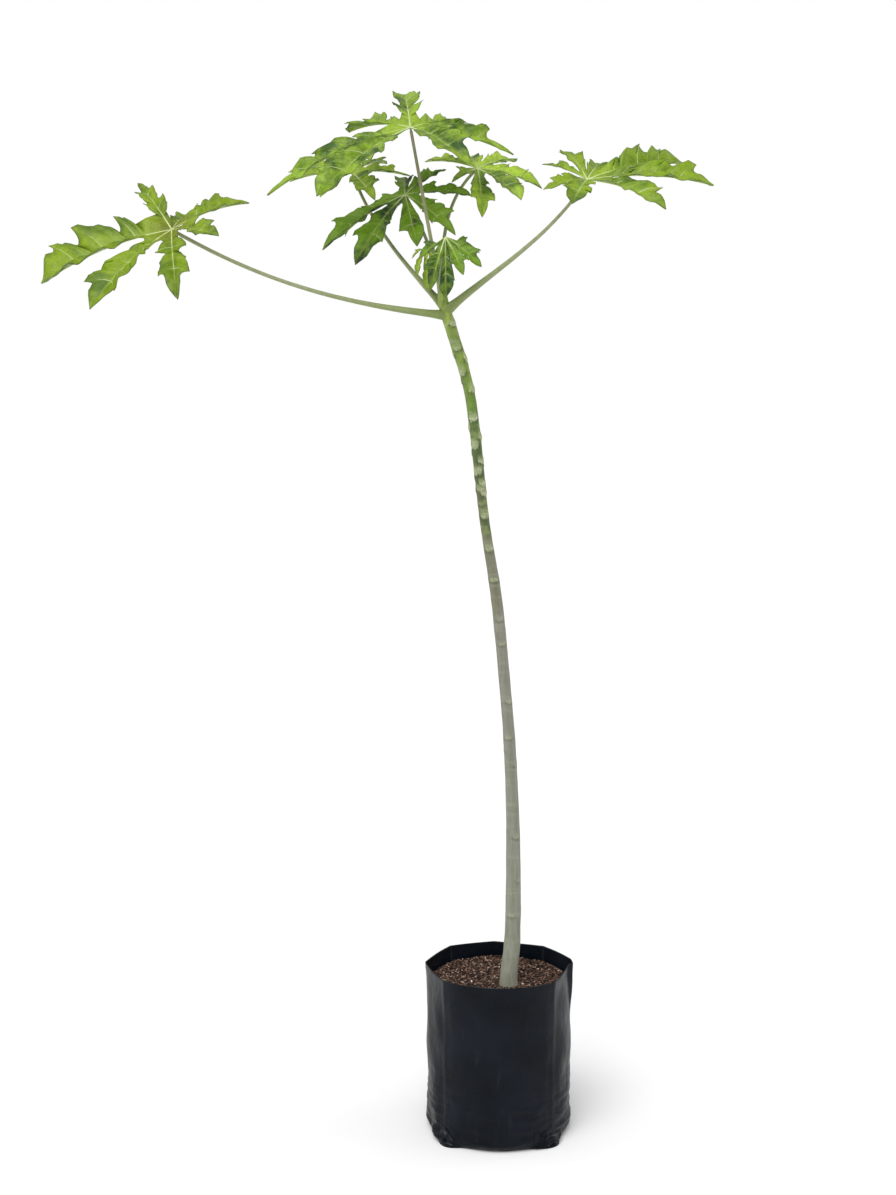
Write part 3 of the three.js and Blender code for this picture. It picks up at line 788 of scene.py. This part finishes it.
for number, (name, leaf) in enumerate(leaves.items()):
    points, faces, veinNear, edgeShade, lobeTone, tubes, tubeFaces = leafMesh(leaf, 100 * number)
    hub = Vector(leaf["hub"])
    dark, bright, under = [colour(*tone) for tone in leaf["tones"]]
    pale = colour(166, 184, 92)
    lobeShare = leaf.get("lobeShare", 0.35)
    middling = tuple(0.5 * (first + second) for first, second in zip(under, bright))
    top = leafMaterial("leaf face " + name, dark, bright, pale, 0.06, lobeShare)
    back = leafMaterial("leaf back " + name, under, middling, pale, 0.14, lobeShare)
    leafPiece = meshPiece("leaf_" + name + "_blade", [(hub + p) * mm for p in points], faces)
    paint(leafPiece, "veinNear", veinNear)
    paint(leafPiece, "lobeTone", lobeTone)
    paint(leafPiece, "edgeShade", edgeShade)
    glow = leaf.get("hubGlow", 0)
    hubNear = [glow * math.exp(-(point.length / blade["hubReach"]) ** 2) for point in points]
    paint(leafPiece, "hubNear", hubNear)
    wear(leafPiece, top, back, veinMaterial)
    pick(leafPiece)
    bpy.ops.object.mode_set(mode="EDIT")
    bpy.ops.mesh.select_all(action="SELECT")
    bpy.ops.mesh.remove_doubles(threshold=blade["weld"] * mm)
    bpy.ops.object.mode_set(mode="OBJECT")
    sheet = {"thickness": blade["thickness"] * mm, "offset": 0}
    applyModifier(leafPiece, "SOLIDIFY", **sheet, material_offset=1, material_offset_rim=0)
    veins = meshPiece("veins_" + name, [(hub + p) * mm for p in tubes], tubeFaces)
    wear(veins, top, back, veinMaterial)
    for face in veins.data.polygons:
        face.material_index = 2
    pick(leafPiece, veins)
    bpy.ops.object.join()
    finish(leafPiece, "young_leaf" if "young" in name else "leaf", "leaf_" + name)
    print("leaf", name, len(leafPiece.data.polygons))

bud = {"spears": [(250, 72, 30), (40, 80, 36), (130, 64, 24)],  # bearing, rise and length
       "sizes": (4.4, 5, 3.6, 1), "arch": 0.6, "gap": 0.3, "sunk": 2, "leastRadius": 0.2,
       "pleats": 5, "pleatDepth": 0.22, "twist": 5, "sides": 24, "rings": 30}

apex = trunkPoint(1) + trunkTangent(1) * bud["gap"] * mm
budMaterial, budShader = newMaterial("bud", 0.45, 0.4)
budFur = mottle(budMaterial, 300, 4, 0.6, (1, 1, 0.25))
budMix = remap(budMaterial, budFur, 0.35, 0.65)
budTone = blend(budMaterial, budMix, colour(122, 150, 66), colour(172, 186, 104))
dress(budMaterial, budShader, budTone, budFur, 0.0004, 0.5)
spears = []
for number, (bearing, rise, length) in enumerate(bud["spears"]):
    line = [apex - Vector((0, 0, bud["sunk"] * mm)), apex + Vector((0, 0, bud["arch"] * length * mm)),
            apex + heading(bearing, rise) * length * mm]

    def spearRadius(along, turn, phase=number * 2.1):
        half = smoothRun([(size, 0) for size in bud["sizes"]], along).x / 2
        wave = math.cos(bud["pleats"] * turn + phase + bud["twist"] * along)
        pleat = 1 + bud["pleatDepth"] * wave * fade(0, 0.25, along) * (1 - along)
        return max(bud["leastRadius"], half * pleat) * mm

    spear = unitLimb("bud_spear", bud["sides"], bud["rings"])
    layOnLine(spear, line, spearRadius)
    wear(spear, budMaterial)
    spears.append(spear)
pick(*spears)
bpy.ops.object.join()
spears[0].name = "bud_leaves"
finish(spears[0], "young_leaf", "bud")
print("bud")

bag = {
    "rim": 100, "side": 97, "height": 225, "film": 0.45, "foot": 76, "corner": 13, "flare": 2,
    "waist": 0.5, "soil": 205, "sides": 240, "footInset": 6, "ringStep": 1.75, "rings": 120,
    "creases": (50, 131, 221, 316),  # bearings of the four folds that run up the bag
    "kinks": (11, 50, 92, 131, 175, 221, 316),  # where the rim bends
    "straight": 0.75,  # how straight the rim runs from one bend to the next
    "straightFrom": (140, 222), "longestFlat": 60,
    "corners": (45, 135, 219, 311), "cornerWidth": 0.26, "cornerReach": 4.5, "cornerHeight": 34,
    "footCorner": 1.2,
    "creaseLift": 0.28, "creaseWidth": 1.6, "creaseFrom": (14, 40), "creaseHighlightWidth": 1.0,
    "lumps": 2.0, "lumpsFrom": (225, 190), "folds": 1.8, "slackFrom": (120, 20), "fine": 0.25,
    "crumple": 3.4, "pleats": 9,
    "rimWave": 0.8,
}


def bagRadius(height):  # the plain round bag
    if height < bag["corner"]:
        foot = [(bag["foot"], 0), (bag["side"] - 1, 0), (bag["side"], bag["corner"])]
        return bezier(foot, math.sqrt(height / bag["corner"])).x
    stations = [(bag["corner"], bag["side"]), (0.35 * bag["height"], bag["side"] - bag["waist"]),
                (0.6 * bag["height"], bag["side"]), (bag["soil"], bag["side"] + bag["flare"]),
                (bag["height"], bag["rim"])]
    for (low, wide), (high, wider) in zip(stations, stations[1:]):
        if height <= high + 0.01:
            return wide + (wider - wide) * fade(low, high, height)
    return bag["rim"]


def bagRelief(turn, height):  # how far the film stands in or out of the plain bag
    relief = 0
    around = Vector((math.cos(turn), math.sin(turn), 0))
    for crease in bag["creases"]:
        gap = turnGap(turn, crease) * bag["side"]
        lift = math.exp(-abs(gap) / bag["creaseWidth"])
        hollow = math.exp(-((abs(gap) - 6) / 4) ** 2)
        relief += bag["creaseLift"] * (lift - 0.6 * hollow) * fade(*bag["creaseFrom"], height)
    # flats between the kinks, strongest at the rim
    ends = sorted(bag["kinks"]) + [bag["kinks"][0] + 360]
    here = math.degrees(turn) % 360
    for low, high in zip(ends, ends[1:]):
        if low <= here <= high and high - low < bag["longestFlat"]:
            half = math.radians((high - low) / 2)
            off = math.radians(here - (low + high) / 2)
            sag = bag["rim"] * (1 - math.cos(half) / math.cos(off))
            relief -= bag["straight"] * sag * fade(*bag["straightFrom"], height)
    # the film follows lumps in the soil, and is slack and wrinkled low down
    lumps = noise.noise(around * 3.1 + Vector((0, 0, height / 45)))
    relief += bag["lumps"] * lumps * fade(*bag["lumpsFrom"], height) * fade(2, 20, height)
    slack = fade(*bag["slackFrom"], height) * fade(4, 14, height)
    folds = noise.noise(around * 2.2 + Vector((3, 0, height / 8.5)))
    ridge = 1 - abs(noise.noise(around * 4.5 + Vector((0, 7, height / 7))))
    relief += slack * bag["folds"] * (folds + ridge - 0.8)
    fine = noise.noise(around * 9 + Vector((0, 0, height / 16)))
    relief += bag["fine"] * fine * fade(bag["height"], bag["soil"], height)
    # folded corners that stand out at the foot, with pleats that fan out of them
    for bearing in bag["corners"]:
        gap = turnGap(turn, bearing)
        near = math.exp(-(gap / bag["cornerWidth"]) ** 4)
        relief += near * bag["cornerReach"] * fade(bag["cornerHeight"], 6, height)
        side = 1 if math.cos(math.radians(bearing)) > 0 else -1
        across = side * math.sin(math.radians(bearing)) * gap * bag["side"]
        slope = math.atan2(height + 3, 26 - across)
        uneven = 2 * noise.noise(around * 4 + Vector((5, 0, height / 9)))
        pleat = 1 - 2 * abs(math.sin(bag["pleats"] * slope + uneven))
        relief += near * bag["crumple"] * pleat * fade(30, 16, height) * fade(0, 5, height)
    return relief


def footCorner(turn, radius, height):  # the folded foot reaches out at its four corners
    if height > bag["corner"]:
        return 0
    return bag["footCorner"] * (bag["side"] - radius) * abs(math.sin(2 * turn)) ** 6


heights = [0, 0.4, 1, 1.8, 2.8, 4, 5.2, 6.5, 8, 9.5, 11, bag["corner"]]
heights += [bag["corner"] + bag["ringStep"] * (ring + 1) for ring in range(bag["rings"])]
heights.append(bag["height"])
deselect()
bpy.ops.mesh.primitive_circle_add(vertices=bag["sides"], radius=bag["foot"] * mm, fill_type="NGON")
bagPiece = bpy.context.object
bagPiece.name = "grow_bag_film"
bpy.ops.object.mode_set(mode="EDIT")
bpy.ops.mesh.select_all(action="SELECT")
bpy.ops.mesh.inset(thickness=bag["footInset"] * mm)
bpy.ops.mesh.select_mode(type="EDGE")
selectWhere(lambda edge: edge.is_boundary, "edges")
for low, high in zip(heights, heights[1:]):
    wider = bagRadius(high) / bagRadius(low)
    bpy.ops.mesh.extrude_region_move(TRANSFORM_OT_translate={"value": (0, 0, (high - low) * mm)})
    bpy.ops.transform.resize(value=(wider, wider, 1))
bpy.ops.mesh.select_all(action="SELECT")
bpy.ops.mesh.normals_make_consistent(inside=False)
bpy.ops.object.mode_set(mode="OBJECT")
creaseHighlightValues, crumpleValues = [], []
for vertex in bagPiece.data.vertices:
    height = vertex.co.z / mm
    turn = math.atan2(vertex.co.y, vertex.co.x)
    radius = vertex.co.xy.length / mm
    crease = 0
    if height > 0.2:
        wide = radius + bagRelief(turn, height) + footCorner(turn, radius, height)
        wave = bag["rimWave"] * (math.sin(3 * turn + 0.6) - 1)
        lift = wave * fade(bag["soil"], bag["height"], height)
        vertex.co = Vector((math.cos(turn) * wide, math.sin(turn) * wide, height + lift)) * mm
        gaps = [turnGap(turn, bearing) * bag["side"] for bearing in bag["creases"]]
        # a painted highlight: a pale line along each fold
        crease = max(math.exp(-(gap / bag["creaseHighlightWidth"]) ** 2) for gap in gaps)
    creaseHighlightValues.append(crease)
    gaps = [turnGap(turn, corner) / bag["cornerWidth"] for corner in bag["corners"]]
    nearCorner = max(math.exp(-gap ** 4) for gap in gaps)
    crumpleValues.append(nearCorner * fade(bag["cornerHeight"], 16, height))
paint(bagPiece, "crease", creaseHighlightValues)
paint(bagPiece, "crumpled", crumpleValues)
applyModifier(bagPiece, "SOLIDIFY", thickness=bag["film"] * mm, offset=-1)

film, filmShader = newMaterial("bag film", 0.36, 0.11)
hazeAndSheen = mottle(film, 13, 5, 0.6)
scuffs = mottle(film, 70, 6, 0.7, (1, 1, 0.2))
# a mottled film tone, partly painted sheen in soft patches
filmColour = blend(film, remap(film, hazeAndSheen, 0.35, 0.65), colour(3, 7, 13), colour(14, 19, 27))
filmColour = blend(film, remap(film, scuffs, 0.6, 0.75, 0, 0.2), filmColour, colour(58, 61, 65))
# painted highlight: a pale line along each fold, on the crease
filmColour = tint(film, filmColour, "crease", 0.14, colour(90, 94, 98))
filmRough = remap(film, mottle(film, 24, 4, 0.6), 0.3, 0.7, 0.28, 0.46)
filmRough = plus(film, filmRough, times(film, painted(film, "crumpled"), -0.14))
filmGrain = times(film, mottle(film, 260, 3), 0.12)
filmHeight = plus(film, mottle(film, 26, 4, 0.55, (1, 1, 0.6)), filmGrain)
dress(film, filmShader, filmColour, filmHeight, 0.004, 0.5, filmRough)
wear(bagPiece, film)
finish(bagPiece, "bag_film", "grow_bag")
print("grow bag")

soil = {"top": 205, "foot": 4, "clearance": 0.35, "mound": 1.6, "moundReach": 26, "bumps": 1.7,
        "rings": 60, "ringStep": 3, "edgeDrop": 2.2, "edgeReach": 9,
        "chips": 6400, "chip": (1.1, 2.6), "pale": 16, "paleSize": (1.3, 2.2),
        "fibres": 18, "fibre": (5, 13), "fibreRadii": (0.34, 0.16), "fibreMargin": 14,
        "fibreSteps": 6, "fibreLift": (1.1, 1.2),  # above the soil all along, and more at one end
        "trunkMargin": 12, "seed": 8}


def bagInside(turn, height):  # how far out the soil can reach
    return bagRadius(height) + bagRelief(turn, height) - bag["film"] - soil["clearance"]


def soilTop(x, y):  # height of the soil's surface
    toTrunk = math.hypot(x - trunk["stations"][0][0], y - trunk["stations"][0][1])
    toWall = bagInside(math.atan2(y, x), soil["top"]) - math.hypot(x, y)
    rough = noise.noise(Vector((x, y, 0)) / 7) + 0.6 * noise.noise(Vector((x, y, 4)) / 3)
    mound = soil["mound"] * math.exp(-(toTrunk / soil["moundReach"]) ** 2)
    drop = soil["edgeDrop"] * fade(soil["edgeReach"], 0, toWall)
    return soil["top"] + mound + soil["bumps"] * rough - drop


deselect()
bpy.ops.mesh.primitive_circle_add(
    vertices=bag["sides"], radius=1, fill_type="NGON", location=(0, 0, soil["foot"] * mm)
)
soilPiece = bpy.context.object
soilPiece.name = "soil_filling"
bpy.ops.object.transform_apply(location=True)
bpy.ops.object.mode_set(mode="EDIT")
bpy.ops.mesh.select_mode(type="EDGE")
selectWhere(lambda edge: edge.is_boundary, "edges")
for _ in range((soil["top"] - soil["foot"]) // soil["ringStep"]):
    bpy.ops.mesh.extrude_region_move(TRANSFORM_OT_translate={"value": (0, 0, soil["ringStep"] * mm)})
for ring in range(1, soil["rings"]):
    inner = 1 - 1 / (soil["rings"] - ring + 1)
    bpy.ops.mesh.extrude_region_move()
    bpy.ops.transform.resize(value=(inner, inner, 1))
bpy.ops.mesh.edge_face_add()
bpy.ops.mesh.select_all(action="SELECT")
bpy.ops.mesh.normals_make_consistent(inside=False)
bpy.ops.object.mode_set(mode="OBJECT")
for vertex in soilPiece.data.vertices:
    height = vertex.co.z / mm
    turn = math.atan2(vertex.co.y, vertex.co.x)
    foot = min(0, footCorner(turn, bagRadius(height), height) - 4 * fade(30, soil["foot"], height))
    reach = vertex.co.xy.length * (bagInside(turn, height) + foot)
    x, y = math.cos(turn) * reach, math.sin(turn) * reach
    if height > soil["top"] - 1:
        height = soilTop(x, y)
    vertex.co = Vector((x, y, height)) * mm

earth, earthShader = newMaterial("soil", 0.95, 0.1)
earthMix = remap(earth, mottle(earth, 300, 5, 0.7), 0.3, 0.7)
earthTone = blend(earth, earthMix, colour(30, 22, 18), colour(66, 52, 44))
dress(earth, earthShader, earthTone, mottle(earth, 500, 5, 0.7), 0.002, 0.8)
wear(soilPiece, earth)
finish(soilPiece, "soil", "soil")


def crumbMaterial(name, first, second, roughness=0.9):
    material, shader = newMaterial(name, roughness, 0.15)
    mix = remap(material, mottle(material, 380, 3, 0.6), 0.35, 0.65)
    tone = blend(material, mix, colour(*first), colour(*second))
    return dress(material, shader, tone, mottle(material, 900, 3), 0.0004, 0.6)


deselect()
bpy.ops.mesh.primitive_ico_sphere_add(subdivisions=1, radius=1)
crumb = bpy.context.object
crumbPoints = [vertex.co.copy() for vertex in crumb.data.vertices]
crumbFaces = [tuple(face.vertices) for face in crumb.data.polygons]
bpy.data.objects.remove(crumb)
chance = random.Random(soil["seed"])


def scatterSpot(margin):  # a place on the soil, clear of the trunk and the wall
    while True:
        x, y = chance.uniform(-bag["rim"], bag["rim"]), chance.uniform(-bag["rim"], bag["rim"])
        toTrunk = math.hypot(x - trunk["stations"][0][0], y - trunk["stations"][0][1])
        toMiddle = math.hypot(x, y)
        inside = toMiddle < bagInside(math.atan2(y, x), soil["top"]) - margin
        if inside and toTrunk > soil["trunkMargin"] + margin:
            return x, y


def crumbs(name, count, sizes, flatness, materials, slotName, sunk):
    points, faces, tones = [], [], []
    for _ in range(count):
        size = chance.uniform(*sizes) * chance.uniform(0.7, 1)
        x, y = scatterSpot(size * 1.3)
        long, wide, tall = chance.uniform(0.9, 1.5), chance.uniform(0.4, 0.8), chance.uniform(*flatness)
        half = size * Vector((long, wide, tall))
        turn = Euler((chance.gauss(0, 0.35), chance.gauss(0, 0.35), chance.uniform(0, 6.3))).to_matrix()
        centre = Vector((x, y, soilTop(x, y) + half.z * sunk))
        first = len(points)
        for corner in crumbPoints:
            points.append((centre + turn @ (half * corner) * chance.uniform(0.7, 1.15)) * mm)
        tone = chance.choices(range(len(materials)), [weight for _, weight in materials])[0]
        for face in crumbFaces:
            faces.append(tuple(first + corner for corner in face))
            tones.append(tone)
    piece = meshPiece(name, points, faces)
    wear(piece, *(material for material, _ in materials))
    piece.data.polygons.foreach_set("material_index", tones)
    finish(piece, slotName)


soilTones = [
    (crumbMaterial("crumb dark", (22, 15, 12), (38, 28, 24)), 5),
    (crumbMaterial("crumb brown", (72, 56, 48), (94, 74, 64)), 4),
    (crumbMaterial("crumb red", (106, 80, 67), (124, 96, 82)), 2.4),
    (crumbMaterial("crumb tan", (150, 124, 108), (176, 152, 136)), 0.8),
]
crumbs("soil_crumbs", soil["chips"], soil["chip"], (0.25, 0.6), soilTones, "soil", 0.35)
paleTones = [(crumbMaterial("pale bit", (226, 205, 194), (240, 226, 216)), 1)]
crumbs("soil_pale_bits", soil["pale"], soil["paleSize"], (0.5, 0.8), paleTones, "soil", 0.8)

straw = crumbMaterial("straw", (176, 152, 120), (206, 186, 156), 0.7)
points, faces = [], []
for _ in range(soil["fibres"]):
    x, y = scatterSpot(soil["fibreMargin"])
    bearing, length = chance.uniform(0, 360), chance.uniform(*soil["fibre"])
    bend = chance.uniform(-0.3, 0.3)
    path = []
    for step in range(soil["fibreSteps"] + 1):
        share = step / soil["fibreSteps"] - 0.5
        spot = Vector((x, y, 0)) + heading(bearing, 0) * length * share
        spot += heading(bearing + 90, 0) * length * bend * share * share * 4
        spot.z = soilTop(spot.x, spot.y) + soil["fibreLift"][0] + soil["fibreLift"][1] * max(0, share)
        path.append(spot * mm)
    addTube(points, faces, path, [radius * mm for radius in soil["fibreRadii"]], Vector((0, 0, 1)))
fibres = meshPiece("soil_fibres", points, faces)
wear(fibres, straw)
finish(fibres, "soil")
print("soil")

deselect()
